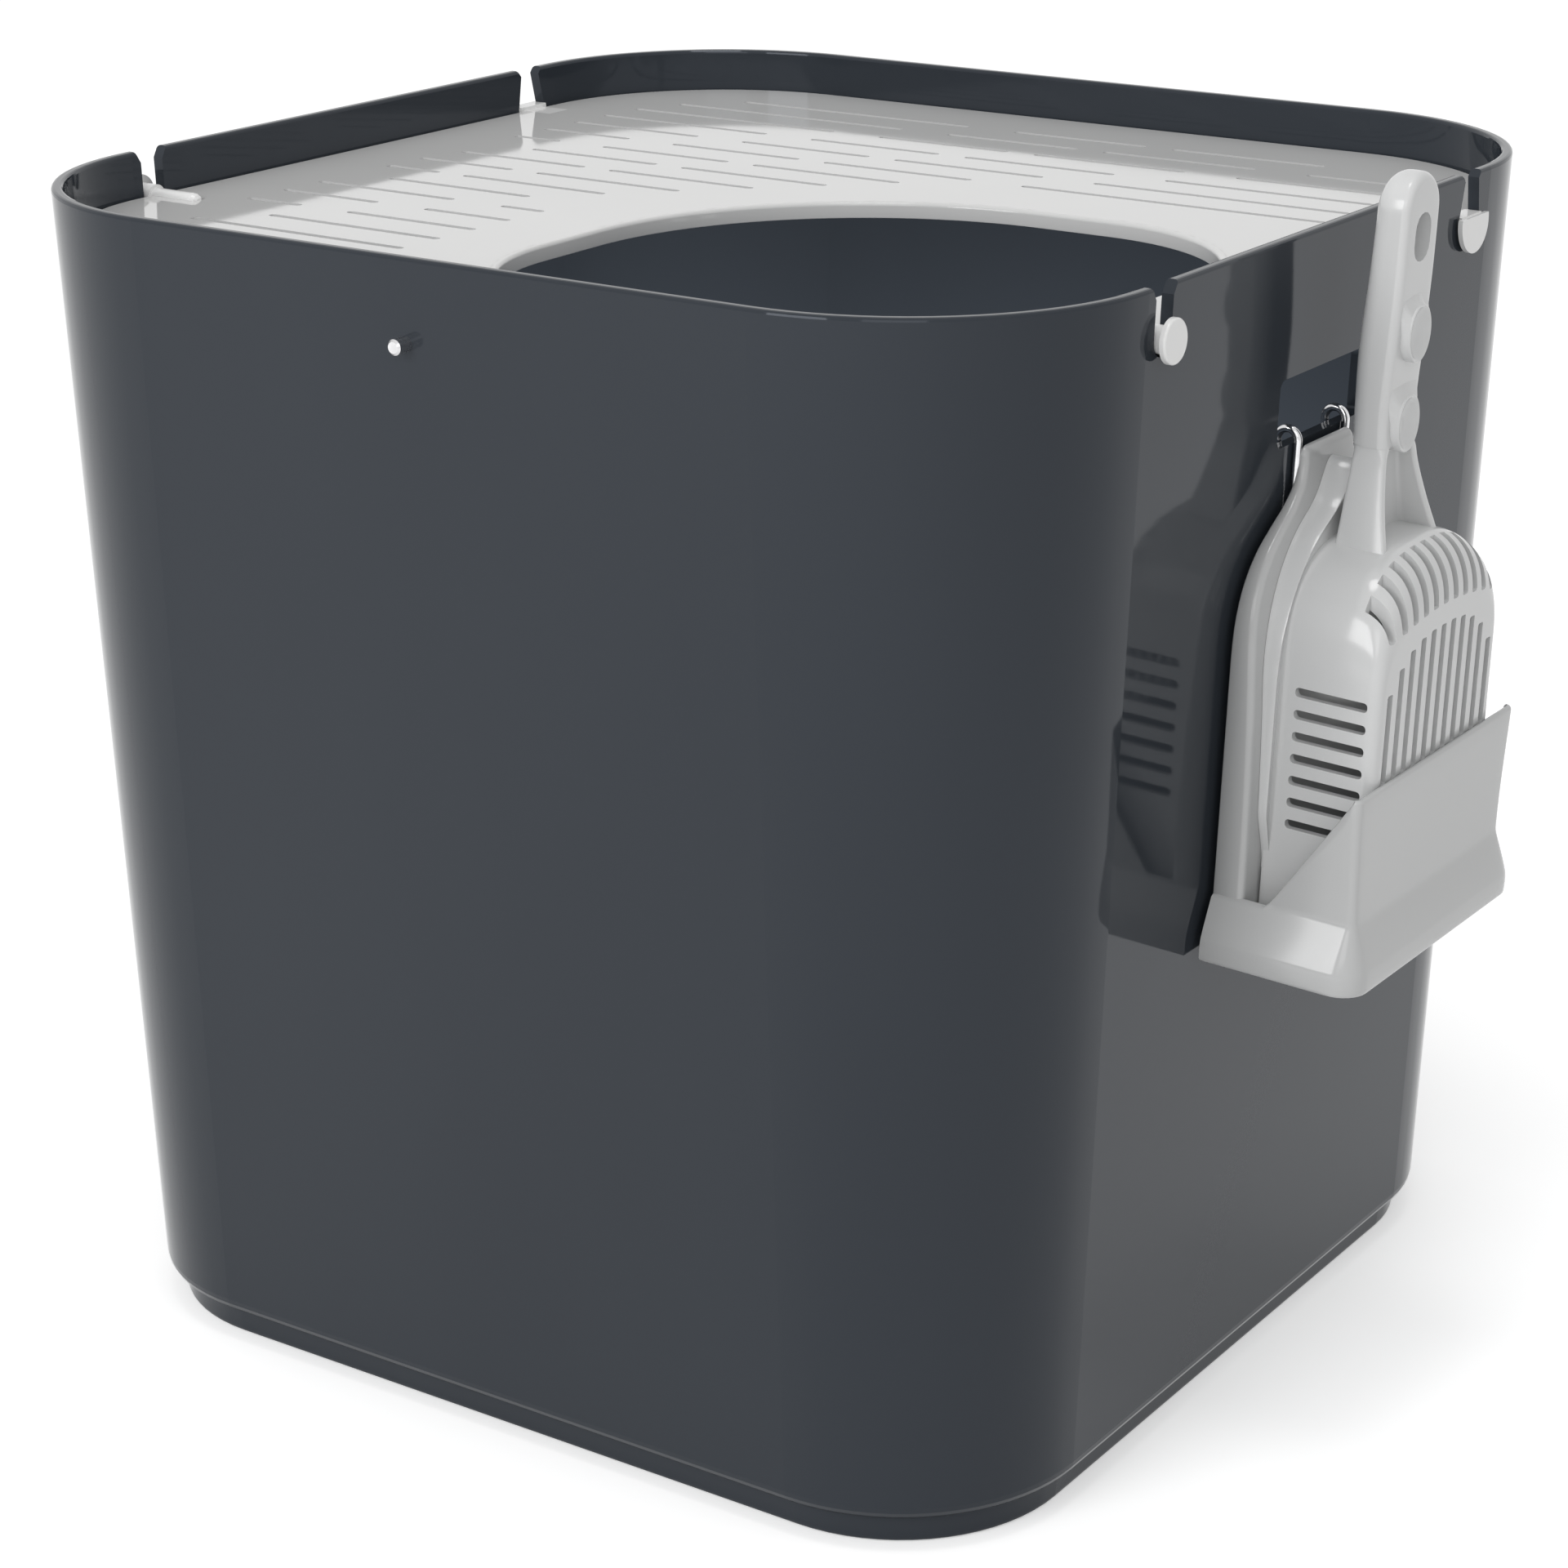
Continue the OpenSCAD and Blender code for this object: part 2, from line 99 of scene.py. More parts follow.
class Net:
    """The node tree of one material or of the world, filled by one method."""

    def __init__(self, owner):
        owner.use_nodes = True
        self.owner = owner
        self.tree = owner.node_tree
        self.tree.nodes.clear()

    def add(self, kind, settings=None, inputs=None):
        """Adds a node of a kind, makes its settings and then gives its sockets their values or wires."""
        node = self.tree.nodes.new("ShaderNode" + kind)
        for key, value in (settings or {}).items():
            if key == "stops":
                self.set_stops(node.color_ramp, value)
            else:
                setattr(node, key, value)
        for key, value in (inputs or {}).items():
            if isinstance(value, Wire):
                self.tree.links.new(value.socket, node.inputs[key])
            else:
                node.inputs[key].default_value = value
        return node

    def set_stops(self, ramp, stops):
        """Gives the two stops of a new ramp their places and greys."""
        for element, (place, grey) in zip(ramp.elements, stops):
            element.position = place
            element.color = (grey, grey, grey, 1.0)

    def wire(self, kind, settings=None, inputs=None, output=0):
        return Wire(self, self.add(kind, settings, inputs).outputs[output])

    def place(self):
        """The point's place on the object, in metres."""
        return self.wire("TexCoord", output="Object")

    def noise(self, scale, detail, stretch=(1.0, 1.0, 1.0)):
        """Cloudy noise from 0 to 1, drawn out along the axes where stretch is small."""
        spot = self.wire("Mapping", {"vector_type": "POINT"}, {"Vector": self.place(), "Scale": stretch})
        return self.wire("TexNoise", inputs={"Vector": spot, "Scale": scale, "Detail": detail})

    def ramp(self, value, low, high):
        """0 up to low, 1 from high on, and an even rise between."""
        return self.wire("ValToRGB", {"stops": [(low, 0.0), (high, 1.0)]}, {"Fac": value})

    def mix(self, share, first, second):
        inputs = {"Factor": share, "A": rgba(first), "B": rgba(second)}
        return self.wire("Mix", {"data_type": "RGBA"}, inputs, output=2)

    def bump(self, height, strength, distance):
        return self.wire("Bump", inputs={"Height": height, "Strength": strength, "Distance": distance})

    def finish(self, shader):
        self.add("OutputMaterial", inputs={"Surface": shader})


def rgba(colour):
    """A colour with full alpha."""
    return (*colour[:3], 1.0)


def darker(colour, shade):
    """A colour whose parts are each multiplied by shade."""
    return [shade * part for part in colour]


def new_net(name):
    return Net(bpy.data.materials.new(name))


def moulded_plastic(name, colour, shade, gloss, grain=GRAIN, bending=1.5, tint=WHITE):
    """Injection-moulded plastic: faint clouds in the colour, patchy gloss and an orange-peel skin."""
    net = new_net(name)
    clouds = net.ramp(net.noise(**CLOUDS), 0.35, 0.65)
    speckle = net.noise(**SPECKLE)
    smears = net.ramp(net.noise(**SMEARS), 0.45, 0.8)
    skin = net.noise(**SKIN)
    net.finish(net.wire("BsdfPrincipled", inputs={
        "Base Color": net.mix(clouds * CLOUD_SHARE + speckle * (1 - CLOUD_SHARE), colour, shade),
        "Roughness": gloss + smears * (gloss * SMEAR_GLOSS) + speckle * (gloss * SPECKLE_GLOSS),
        "IOR": bending,
        "Specular Tint": rgba(tint),
        "Normal": net.bump(skin + speckle * grain, strength=0.1, distance=0.0001),
    }))
    return net.owner


def polished_steel(name, colour, gloss):
    """Bright drawn metal: fine lines along its length in the gloss and the normal."""
    net = new_net(name)
    lines = net.noise(**DRAWN_LINES)
    tarnish = net.ramp(net.noise(**TARNISH), 0.4, 0.75)
    net.finish(net.wire("BsdfPrincipled", inputs={
        "Base Color": net.mix(tarnish, colour, darker(colour, TARNISH_SHADE)),
        "Metallic": 1.0,
        "Roughness": gloss + lines * gloss + tarnish * TARNISH_GLOSS,
        "Normal": net.bump(lines, strength=0.15, distance=0.00003),
    }))
    return net.owner


def dress(node, material):
    """Gives a carried-over piece its material."""
    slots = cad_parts[node].data.materials
    slots.clear()
    slots.append(material)


# ---------------------------------------------------------------- settings


class TubLooks(bpy.types.PropertyGroup):
    """Colours and gloss of the tub."""
    colour: FloatVectorProperty(
        name="Colour", description="Main colour of the tub", subtype="COLOR", size=3,
        default=(0.0315, 0.0370, 0.0445), min=0, max=1)
    shade: FloatVectorProperty(
        name="Cloud colour", description="Colour of the faint clouds in the tub's plastic",
        subtype="COLOR", size=3, default=(0.0290, 0.0340, 0.0412), min=0, max=1)
    gloss: FloatProperty(
        name="Roughness", description="Roughness of the tub's polished skin", subtype="FACTOR",
        default=0.05, min=0, max=1)
    bending: FloatProperty(
        name="Index of refraction", description="How strongly the tub's skin mirrors what is round it",
        default=1.31, min=1, max=3)
    tint: FloatVectorProperty(
        name="Mirror tint", description="Colour of what the tub's skin mirrors", subtype="COLOR", size=3,
        default=(0.80, 0.85, 0.95), min=0, max=1)


class LightGreyLooks(bpy.types.PropertyGroup):
    """Colours and gloss of the light grey pieces."""
    lid: FloatVectorProperty(
        name="Lid", description="Colour of the lid", subtype="COLOR", size=3,
        default=(0.66, 0.66, 0.655), min=0, max=1)
    lugs: FloatVectorProperty(
        name="Lugs", description="Colour of the four lugs", subtype="COLOR", size=3,
        default=(0.86, 0.86, 0.855), min=0, max=1)
    holder: FloatVectorProperty(
        name="Holder", description="Colour of the scoop's holder", subtype="COLOR", size=3,
        default=(0.515, 0.52, 0.52), min=0, max=1)
    scoop: FloatVectorProperty(
        name="Scoop", description="Colour of the scoop", subtype="COLOR", size=3,
        default=(0.66, 0.665, 0.665), min=0, max=1)
    gloss: FloatProperty(
        name="Roughness", description="Roughness of the light grey plastic", subtype="FACTOR",
        default=0.12, min=0, max=1)
    lid_gloss: FloatProperty(
        name="Lid roughness", description="Roughness of the lid's polished skin", subtype="FACTOR",
        default=0.05, min=0, max=1)
    lid_bending: FloatProperty(
        name="Lid index of refraction", default=1.45, min=1, max=3,
        description="How strongly the lid's skin mirrors what is round it")


class SteelLooks(bpy.types.PropertyGroup):
    """Colour and gloss of the wire hooks and the stud."""
    colour: FloatVectorProperty(
        name="Colour", description="Colour of the polished metal", subtype="COLOR", size=3,
        default=(0.72, 0.72, 0.73), min=0, max=1)
    gloss: FloatProperty(
        name="Roughness", description="Roughness of the hooks' wire; the stud has twice as much",
        subtype="FACTOR", default=0.08, min=0, max=1)


class StudioSettings(bpy.types.PropertyGroup):
    """The camera, the lamps and the floor."""
    camera_place: FloatVectorProperty(
        name="Camera", description="Where the camera stands", subtype="TRANSLATION", unit="LENGTH",
        size=3, default=(0.71111, -1.04668, 0.62697))
    camera_turn: FloatProperty(
        name="Azimuth", description="Turn of the camera about the upright", subtype="ANGLE",
        default=math.radians(33.597))
    camera_dip: FloatProperty(
        name="Dip", description="How far the camera looks down", subtype="ANGLE",
        default=math.radians(18.046))
    lens: FloatProperty(
        name="Lens", description="Focal length on a 36 mm sensor", unit="CAMERA", default=86.575)
    shift_x: FloatProperty(name="Shift X", description="Sideways shift of the frame", default=-0.03519)
    shift_y: FloatProperty(name="Shift Y", description="Upward shift of the frame", default=-0.06972)
    front_power: FloatProperty(
        name="Front lamp", description="Power of the lamp before the tub", unit="POWER", default=25.0)
    right_power: FloatProperty(
        name="Right lamp", description="Power of the lamp at the front right", unit="POWER", default=8.0)
    top_power: FloatProperty(
        name="Top lamp", description="Power of the lamp above", unit="POWER", default=10.0)
    ambient: FloatProperty(
        name="Ambient", description="Even light from all round", default=0.61, min=0)
    floor_glow: FloatProperty(
        name="Floor glow", description="Light added to the floor where it is seen or mirrored",
        default=0.39, min=0)
    inner_power: FloatProperty(
        name="Inner lamp", description="Power of the small lamp on the tub's floor", unit="POWER",
        default=3.6)
    floor_size: FloatProperty(
        name="Floor", description="Length of the floor's side", unit="LENGTH", default=60.0, min=1)


# ---------------------------------------------------------------- shapes
#
# Sizes are in mm. The scoop and its holder are measured off the right wall, along it and up it.


LEAN = math.radians(2.5)
TUB_HALF = 200.0
TUB_RIM = 398.0
WALL_FOOT = TUB_HALF - TUB_RIM * math.tan(LEAN)
WELD = 0.01 * MM
FLAT = math.radians(0.5)


def on_wall(off, along, up):
    """Points in metres from distances in mm: off the right wall, along it and up it.

    The wall leans out by LEAN, so a point is its foot plus off times the wall's outward
    direction plus up times the wall's upward direction.
    """
    off, along, up = np.broadcast_arrays(off, along, up)
    x = WALL_FOOT + off * math.cos(LEAN) + up * math.sin(LEAN)
    z = up * math.cos(LEAN) - off * math.sin(LEAN)
    return np.stack([x, along, z], axis=-1) * MM


def flow(value, places, heights):
    """A smooth line through points: cubic pieces, each point's slope taken from its neighbours."""
    places, heights = np.asarray(places, float), np.asarray(heights, float)
    slopes = np.gradient(heights, places)
    left = np.clip(np.searchsorted(places, value) - 1, 0, len(places) - 2)
    right = left + 1
    gap = places[right] - places[left]
    share = np.clip((value - places[left]) / gap, 0.0, 1.0)
    rest = 1.0 - share
    from_left = heights[left] * (1 + 2 * share) * rest ** 2 + slopes[left] * gap * share * rest ** 2
    return (from_left + heights[right] * share ** 2 * (3 - 2 * share)
            - slopes[right] * gap * share ** 2 * rest)


def ease(value, start, stop):
    """A soft step: v rises evenly from 0 at start to 1 at stop, and the step is 3v^2 - 2v^3."""
    value = np.clip((value - start) / (stop - start), 0.0, 1.0)
    return value * value * (3 - 2 * value)


def curve(points, count):
    """A smooth path through points, evenly stepped along its length."""
    points = np.asarray(points, float)
    places = np.concatenate([[0.0], np.cumsum(np.linalg.norm(np.diff(points, axis=0), axis=1))])
    steps = np.linspace(0.0, places[-1], count)
    return np.stack([flow(steps, places, points[:, 0]), flow(steps, places, points[:, 1])], axis=-1)


def arc(middle, radius, start, stop, count):
    """Points on a circle about middle, from one angle to another in degrees."""
    turn = np.radians(np.linspace(start, stop, count))
    return np.array(middle) + radius * np.stack([np.cos(turn), np.sin(turn)], axis=-1)


class Shell:
    """A mesh made of point grids: neighbours in a grid are joined by quads."""

    def __init__(self):
        self.points = []
        self.quads = []
        self.count = 0

    def grid(self, points, closed=False):
        """Adds rows by columns of points. A closed grid joins its last column to its first."""
        rows, columns = points.shape[:2]
        row = np.arange(rows - 1)[:, None] * columns
        column = np.arange(columns if closed else columns - 1)[None, :]
        after = (column + 1) % columns
        quads = np.stack([row + column, row + after, row + columns + after, row + columns + column], -1)
        self.quads.append(quads.reshape(-1, 4) + self.count)
        self.points.append(points.reshape(-1, 3))
        self.count += rows * columns

    def ladder(self, points):
        """Fills an even row of points by joining first to last, second to last but one, and so on."""
        half = len(points) // 2
        self.grid(np.stack([points[:half], points[::-1][:half]], axis=1))

    def build(self, name):
        """Welds what meets, turns every face outward, and returns the object."""
        points = np.concatenate(self.points)
        quads = np.concatenate(self.quads)
        mesh = bpy.data.meshes.new(name)
        mesh.vertices.add(len(points))
        mesh.vertices.foreach_set("co", points.ravel())
        mesh.loops.add(quads.size)
        mesh.loops.foreach_set("vertex_index", quads.ravel().astype(np.int32))
        mesh.polygons.add(len(quads))
        mesh.polygons.foreach_set("loop_start", np.arange(0, quads.size, 4, dtype=np.int32))
        mesh.update(calc_edges=True)
        form = bmesh.new()
        form.from_mesh(mesh)
        bmesh.ops.remove_doubles(form, verts=form.verts, dist=WELD)
        bmesh.ops.dissolve_degenerate(form, edges=form.edges, dist=WELD)
        bmesh.ops.recalc_face_normals(form, faces=form.faces)
        form.to_mesh(mesh)
        form.free()
        return add_object(name, mesh)


def add_object(name, data):
    """A new object in the scene, at the origin."""
    thing = bpy.data.objects.new(name, data)
    bpy.context.scene.collection.objects.link(thing)
    return thing


def smooth(piece, angle):
    """Smooth shading, with an edge kept crisp where its faces turn by more than the angle."""
    piece.data.polygons.foreach_set("use_smooth", np.ones(len(piece.data.polygons), dtype=bool))
    piece.data.set_sharp_from_angle(angle=math.radians(angle))


def cut(piece, cutter):
    """Cuts the cutter's solids out of the piece and removes the cutter."""
    tool = piece.modifiers.new("cut", "BOOLEAN")
    tool.operation = "DIFFERENCE"
    tool.solver = "EXACT"
    tool.object = cutter
    plain = piece.data
    done = bpy.data.meshes.new_from_object(piece.evaluated_get(bpy.context.evaluated_depsgraph_get()))
    piece.modifiers.clear()
    piece.data = done
    bpy.data.meshes.remove(plain)
    bpy.data.objects.remove(cutter)


def merged_copy(node, name):
    """A copy of a carried-over piece with its corners joined and its flat faces made whole."""
    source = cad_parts[node]
    mesh = source.data.copy()
    mesh.transform(source.matrix_world)
    form = bmesh.new()
    form.from_mesh(mesh)
    bmesh.ops.remove_doubles(form, verts=form.verts, dist=WELD)
    bmesh.ops.dissolve_limit(form, angle_limit=FLAT, verts=form.verts, edges=form.edges)
    form.to_mesh(mesh)
    form.free()
    return add_object(name, mesh)


def soften(piece, width, angle):
    """Rounds off each edge that turns by more than the angle."""
    tool = piece.modifiers.new("soft edges", "BEVEL")
    tool.width = width * MM
    tool.segments = 2
    tool.limit_method = "ANGLE"
    tool.angle_limit = math.radians(angle)
    tool.harden_normals = True


def finish_piece(piece, body, node, material, crisp):
    """Shades a piece, gives it its material, puts it on its body and replaces its CAD node."""
    smooth(piece, crisp)
    piece.data.materials.clear()
    piece.data.materials.append(material)
    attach(piece, body)
    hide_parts(node)


def bar(shell, low, high, radius, ends, way):
    """A bar with a rounded-square section, run off the wall or along it from one end to the other.

    low and high are the section's corners: along and up for a bar that runs off the wall,
    off and up for one that runs along it.
    """
    corners = [(high[0] - radius, high[1] - radius, 0), (low[0] + radius, high[1] - radius, 90),
               (low[0] + radius, low[1] + radius, 180), (high[0] - radius, low[1] + radius, 270)]
    ring = np.concatenate([arc((x, y), radius, turn, turn + 90, 5) for x, y, turn in corners])
    middle = ring.mean(axis=0)
    rings = []
    for end, size in ((ends[0], 0.0), (ends[0], 1.0), (ends[1], 1.0), (ends[1], 0.0)):
        across, up = (middle + size * (ring - middle)).T
        rings.append(on_wall(end, across, up) if way == "off" else on_wall(across, end, up))
    shell.grid(np.stack(rings), closed=True)


# ---------------------------------------------------------------- tub and metal


class LITTER_OT_tub(bpy.types.Operator):
    """Gives the tub its dark moulded skin"""
    bl_idname = "litter.tub"
    bl_label = "Tub"

    def execute(self, context):
        looks = context.scene.litter_tub
        dress("bucket", moulded_plastic(
            "tub_plastic", looks.colour, looks.shade, looks.gloss, TUB_GRAIN, looks.bending, looks.tint))
        return {"FINISHED"}


class LITTER_OT_steel(bpy.types.Operator):
    """Gives the hooks and the stud their bright metal"""
    bl_idname = "litter.steel"
    bl_label = "Hooks and stud"

    def execute(self, context):
        looks = context.scene.litter_steel
        dress("front_stud", polished_steel("stud_metal", looks.colour, looks.gloss * 2))
        wire = polished_steel("hook_wire", looks.colour, looks.gloss)
        for name in ("hook_front", "hook_rear"):
            dress(name, wire)
        return {"FINISHED"}


# ---------------------------------------------------------------- lid


LID_TOP = 382.7
SLOT_EASE = 0.5
LIP_DEEP = 5.5
LIP_WIDE = 2.4
LIP_ROLL = 1.3
LIP_FOOT_ROLL = 0.3
ENTRY_SIDES = (-30.0, 171.5, -173.0, 32.0)  # left, right, front and back of the entry hole
ENTRY_CORNERS = (70.0, 60.0, 70.0, 105.0)  # back right, front right, front left and back left
ENTRY_STEP = 2.9  # a corner has one point for each such length of its radius


def entry_path(grow):
    """The entry hole's outline, moved out by grow: four arcs whose ends are joined by straight sides."""
    def corner(x, y, radius, start):
        return arc((x, y), radius + grow, start, start + 90, int(radius / ENTRY_STEP) + 1)

    left, right, front, back = ENTRY_SIDES
    back_right, front_right, front_left, back_left = ENTRY_CORNERS
    return np.concatenate([
        corner(right - back_right, back - back_right, back_right, 0),
        corner(left + back_left, back - back_left, back_left, 90),
        corner(left + front_left, front + front_left, front_left, 180),
        corner(right - front_right, front + front_right, front_right, 270)])


def entry_lip(shell):
    """The entry hole's edge: flush with the lid's top, then a quarter circle over and down into the hole.

    Each row of the grid is the hole's outline, moved out by one point of the section and set at
    that point's height, so the section is the same all the way round.
    """
    foot = LID_TOP - LIP_DEEP
    roll = arc((LIP_ROLL, LID_TOP - LIP_ROLL), LIP_ROLL, 90, 180, 9)
    under = arc((LIP_FOOT_ROLL, foot + LIP_FOOT_ROLL), LIP_FOOT_ROLL, 180, 270, 4)
    section = np.concatenate([[(LIP_WIDE, foot), (LIP_WIDE, LID_TOP)], roll, under, [(LIP_WIDE, foot)]])
    rows = []
    for grow, up in section:
        path = entry_path(grow)
        rows.append(np.column_stack([path, np.full(len(path), up)]) * MM)
    shell.grid(np.stack(rows), closed=True)


class LITTER_OT_lid(bpy.types.Operator):
    """Eases the lid's slots, rolls its entry edge, and gives it and its lugs their light grey skin"""
    bl_idname = "litter.lid"
    bl_label = "Lid and lugs"

    def execute(self, context):
        looks = context.scene.litter_greys
        lid_skin = moulded_plastic(
            "lid_plastic", looks.lid, darker(looks.lid, GREY_SHADE), looks.lid_gloss,
            bending=looks.lid_bending)
        lug_skin = moulded_plastic("lug_plastic", looks.lugs, darker(looks.lugs, LUG_SHADE), looks.gloss)
        panel = merged_copy("lid", "lid_panel")
        soften(panel, SLOT_EASE, angle=30)
        finish_piece(panel, "lid", "lid", lid_skin, crisp=35)
        shell = Shell()
        entry_lip(shell)
        finish_piece(shell.build("entry_lip"), "lid", "entry_rim", lid_skin, crisp=50)
        for name in ("lock_lug_left", "lock_lug_right", "hinge_lug_left", "hinge_lug_right"):
            dress(name, lug_skin)
        return {"FINISHED"}


# ---------------------------------------------------------------- scoop holder


PLATE_HALF = 54.0
PLATE_TOP = 330.5
PLATE_FOOT = 184.0
PLATE_BACK = 2.4
PLATE_CHAMFER = 0.6
PLATE_CORNER = 3.4
PLATE_TAPER = 0.2  # how much the neck draws in above the last point of PLATE_EDGE
EDGE_ROLL = 2.2
PLATE_EDGE = [  # along and up, from the top of the straight side to the neck
    (54.0, 262.0), (53.9, 272.0), (53.0, 281.5), (50.3, 290.3), (46.3, 297.2), (41.0, 302.9),
    (33.4, 308.3), (24.8, 314.0), (19.2, 319.6), (17.0, 325.0)]
FACE_OFF = 13.0
FACE_DROP = 7.0
FACE_BEND = (200.0, 322.0)  # the face leans in from the first height, and by FACE_DROP at the second
FACE_POWER = 1.9
WALL = 2.5
POCKET_OFF = 52.0
POCKET_UP = 235.5
POCKET_ROUND = 3.2
POCKET_FLARE = 3.3
POCKET_GAP = 0.2
LEAST_ROUND = 0.4
GUSSET_OFF = (21.0, 45.0, 50.0)
GUSSET_UP = (192.3, 228.0, POCKET_UP)
FLOOR_UP = 186.0
CROWN = (25.0, 50.0, 75.0, 90.0, 105.0, 130.0, 155.0)  # degrees round the rim's half circle
SKIRT_JOIN = 195.5
SKIRT_UP = 192.8
SKIRT_OUT = 6.4
SKIRT_FORTH = 4.7
SKIRT_ROUND = 10.0
# How far the skirt is spread, from 0 to 1, at each of these heights.
FLARE_UP = (170.0, 177.4, 178.2, 179.0, 180.2, 190.6, 191.8, 192.8, 193.6, 194.6, 240.0)
FLARE = (1.0, 1.0, 0.975, 0.93, 0.86, 0.16, 0.08, 0.03, 0.008, 0.0, 0.0)
SKIRT_ROWS = (
    194.8, 194.2, 193.6, 193.0, 192.4, 191.8, 191.2, 190.6, 189.0, 186.5, 183.5, 181.5, 180.2,
    179.6, 179.0, 178.6, 178.2, 177.8, 177.4, 176.0, 173.5, 172.0)
BASE_ROWS = (  # height and inset, under the skirt's edge and up its inside
    (171.3, 0.1), (170.9, 0.4), (170.7, 0.9), (170.7, 1.7), (170.9, 2.2), (171.4, WALL),
    (177.0, WALL), (180.5, WALL + 0.3), (183.5, WALL + 0.6))


def plate_face(up):
    """How far the back plate's face stands off the wall: it leans in toward the neck on a soft curve."""
    low, high = FACE_BEND
    return FACE_OFF - FACE_DROP * np.clip((up - low) / (high - low), 0.0, None) ** FACE_POWER


def back_plate(shell):
    """The back plate: a profile carried up its right edge, over its top corners and down its left one.

    Each point of the outline moves in along its normal while the profile runs from the back, out
    to the edge and round a quarter circle to the face. Rungs then fill the face and the back.
    """
    straight = np.linspace([PLATE_HALF, PLATE_FOOT], PLATE_EDGE[0], 14)[:-1]
    bend = curve(PLATE_EDGE, 60)
    middle = (bend[-1, 0] - PLATE_CORNER - PLATE_TAPER, PLATE_TOP - PLATE_CORNER)
    edge = np.concatenate([straight, bend, arc(middle, PLATE_CORNER, 0, 90, 8)])
    along = np.gradient(edge, axis=0)
    inward = np.stack([-along[:, 1], along[:, 0]], -1) / np.linalg.norm(along, axis=1)[:, None]
    roll = arc((EDGE_ROLL, -EDGE_ROLL), EDGE_ROLL, 180, 90, 8)
    inset = np.concatenate([[PLATE_CHAMFER, 0.0], roll[:, 0]])
    rows = edge[:, None, :] + inset[None, :, None] * inward[:, None, :]
    back = np.full((len(edge), 1), PLATE_BACK)
    off = np.concatenate([back, back + PLATE_CHAMFER, plate_face(rows[:, 2:, 1]) + roll[:, 1]], axis=1)
    right = on_wall(off, rows[:, :, 0], rows[:, :, 1])
    left = on_wall(off, -rows[:, :, 0], rows[:, :, 1])
    rim = np.concatenate([right, left[::-1]])
    shell.grid(rim)
    shell.ladder(rim[:, 0])
    shell.ladder(rim[:, -1])
    shell.grid(np.stack([rim[0], rim[-1]]))


def pocket_plan(half, front, corner, back):
    """A path round three sides of the pocket, from its back left to its back right.

    Each side runs forward to the corner's arc, the arc turns a quarter, and the front closes to the
    middle. The other half is its mirror image. Each size is one number, or one for every point.
    """
    def mirror(path):
        return np.concatenate([path, path[::-1]])

    side = np.linspace(0.0, 1.0, 24)
    turn = np.radians(np.linspace(0.0, 90.0, 9))[1:-1]
    across = np.linspace(1.0, 0.0, 12)
    forward = mirror(np.concatenate([side, np.ones(len(turn) + len(across))]))
    reach = mirror(np.concatenate([np.ones(len(side) + len(turn)), across]))
    bend_off = mirror(np.concatenate([np.zeros(len(side)), np.sin(turn), np.ones(len(across))]))
    bend_in = mirror(np.concatenate([np.zeros(len(side)), np.cos(turn) - 1, -np.ones(len(across))]))
    sign = np.repeat([-1.0, 1.0], len(reach) // 2)
    off = back + forward * (front - corner - back) + bend_off * corner
    along = sign * reach * (half + bend_in * corner)
    return off, along


def pocket(shell):
    """The pocket and the flared skirt below it, as one skin of stacked paths.

    The plan's half width, depth and corner radius follow height: straight in the wall, then a ramp
    out to the lip whose two bends are rounded. The rim follows the gusset's slope at both sides,
    and each row is drawn in by its inset, so the same rows make the outside and the inside.
    """
    def row(up, inset, flared=1.0):
        spread = flared * flow(up, FLARE_UP, FLARE)
        half = PLATE_HALF + POCKET_FLARE * np.clip((up - SKIRT_UP) / (POCKET_UP - SKIRT_UP), 0.0, None)
        corner = POCKET_ROUND + (SKIRT_ROUND - POCKET_ROUND) * spread - inset
        off, along = pocket_plan(
            half + SKIRT_OUT * spread - inset, POCKET_OFF + SKIRT_FORTH * spread - inset,
            np.maximum(corner, LEAST_ROUND), PLATE_BACK + POCKET_GAP + inset)
        return on_wall(off, along, up)

    plan, _ = pocket_plan(PLATE_HALF, POCKET_OFF, POCKET_ROUND, PLATE_BACK)
    rim = np.interp(plan, GUSSET_OFF, GUSSET_UP) - WALL / 2
    low = np.minimum(rim, SKIRT_JOIN)
    rows = [row(FLOOR_UP + share * (rim - FLOOR_UP), WALL, 0.0) for share in np.linspace(0.0, 1.0, 9)]
    rows += [row(rim + WALL / 2 * math.sin(turn), WALL / 2 * (1 + math.cos(turn)))
             for turn in np.radians(CROWN)]
    rows += [row(low + share * (rim - low), 0.0) for share in np.linspace(1.0, 0.0, 9)]
    rows += [row(np.minimum(rim, up), 0.0) for up in SKIRT_ROWS]
    rows += [row(np.full(len(rim), up), inset) for up, inset in BASE_ROWS]
    skin = np.stack(rows)
    shell.grid(skin, closed=True)
    shell.ladder(skin[0])
    shell.ladder(skin[-1])


class LITTER_OT_holder(bpy.types.Operator):
    """Builds the scoop holder: the rolled-edge back plate, the pocket and its flared skirt"""
    bl_idname = "litter.holder"
    bl_label = "Scoop holder"

    def execute(self, context):
        looks = context.scene.litter_greys
        shell = Shell()
        back_plate(shell)
        pocket(shell)
        skin = moulded_plastic(
            "holder_plastic", looks.holder, darker(looks.holder, GREY_SHADE), looks.gloss)
        piece = shell.build("holder_shell")
        finish_piece(piece, "holder", "scoop_holder", skin, crisp=50)
        return {"FINISHED"}


# ---------------------------------------------------------------- scoop


